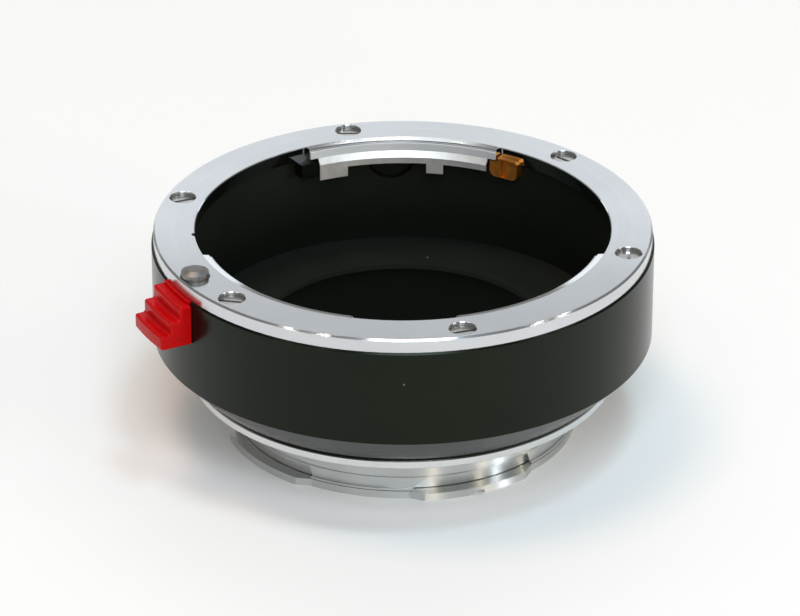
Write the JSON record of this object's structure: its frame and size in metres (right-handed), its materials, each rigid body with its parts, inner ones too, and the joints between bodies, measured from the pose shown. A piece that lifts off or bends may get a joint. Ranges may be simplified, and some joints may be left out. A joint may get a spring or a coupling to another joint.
{
  "type": "lens mount adapter",
  "caption": "Short black barrel with a bright bayonet ring at each end and a red release grip with a sprung lock pin, to fit a lens of one mount on a camera of another.",
  "frame": {"origin": "on the optical axis, in the plane of the camera-side lugs that the adapter stands on", "axes": "+Z along the optical axis towards the lens side, -Y towards the viewer of the picture"},
  "size_m": [0.0618, 0.0604, 0.0267],
  "materials": {
    "barrel_black": "satin black anodised",
    "baffle_black": "matt black",
    "lens_ring_chrome": "satin chrome",
    "camera_ring_chrome": "satin chrome",
    "screw_steel": "bright",
    "spring_leaf": "bright rolled",
    "rivet_steel": "bright",
    "stop_brass": "turned",
    "guide_black": "blackened",
    "pin_steel": "ground",
    "stem_steel": "bright",
    "spring_wire": "drawn wire",
    "grip_red": "moulded red"
  },
  "bodies": {
    "adapter_body": {"main_barrel": "barrel_black", "light_baffle": "baffle_black", "lens_bayonet_ring": "lens_ring_chrome", "lens_ring_screws": "screw_steel", "lug_spring_back": "spring_leaf", "lug_spring_left": "spring_leaf", "lug_spring_right": "spring_leaf", "lug_spring_rivets": "rivet_steel", "stop_block": "stop_brass", "stop_block_screw": "stop_brass", "guide_block": "guide_black", "camera_flange_ring": "camera_ring_chrome", "camera_bayonet_collar": "camera_ring_chrome", "throat_liner": "baffle_black", "camera_ring_screws": "screw_steel", "return_spring": "spring_wire"},
    "lock_release": {"lock_pin": "pin_steel", "grip_stem": "stem_steel", "release_grip": "grip_red"}
  },
  "joints": [
    {"name": "release_slide", "type": "slide", "parent": "adapter_body", "child": "lock_release", "axis": [0, 0, -1], "range_m": [0, 0.0016], "stiffness_N_per_m": 600, "springref_m": -0.003, "deforming": ["return_spring"]}
  ]
}
